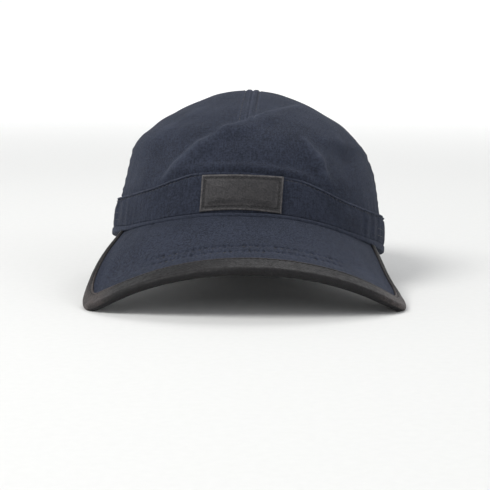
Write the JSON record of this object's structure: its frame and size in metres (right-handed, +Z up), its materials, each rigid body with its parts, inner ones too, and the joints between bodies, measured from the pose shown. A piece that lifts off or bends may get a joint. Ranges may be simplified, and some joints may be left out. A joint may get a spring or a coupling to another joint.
{
  "type": "cap",
  "caption": "Soft cloth cap with a hollow three-panel crown on a stitched band, gathered at the rear, a leather-bound arched peak and a bare leather patch.",
  "frame": {"origin": "on the surface the cap rests on, below the middle of its box", "axes": "+Z up, -Y to the front of the cap where the peak points, +X to the right as seen from in front"},
  "size_m": [0.1876, 0.2658, 0.1206],
  "materials": {
    "crown_cotton": "matt navy cotton twill",
    "band_cotton": "matt navy cotton twill",
    "peak_cotton": "matt navy cotton twill over a stiff board",
    "binding_leather": "smooth black leather, rubbed at the edge",
    "patch_leather": "grained black leather"
  },
  "bodies": {
    "root": {"crown_front_panel": "crown_cotton", "crown_rear_left_panel": "crown_cotton", "crown_rear_right_panel": "crown_cotton", "front_band": "band_cotton", "rear_band": "band_cotton", "rim_welt": "band_cotton", "peak": "peak_cotton", "peak_binding": "binding_leather", "leather_patch": "patch_leather"}
  },
  "joints": []
}
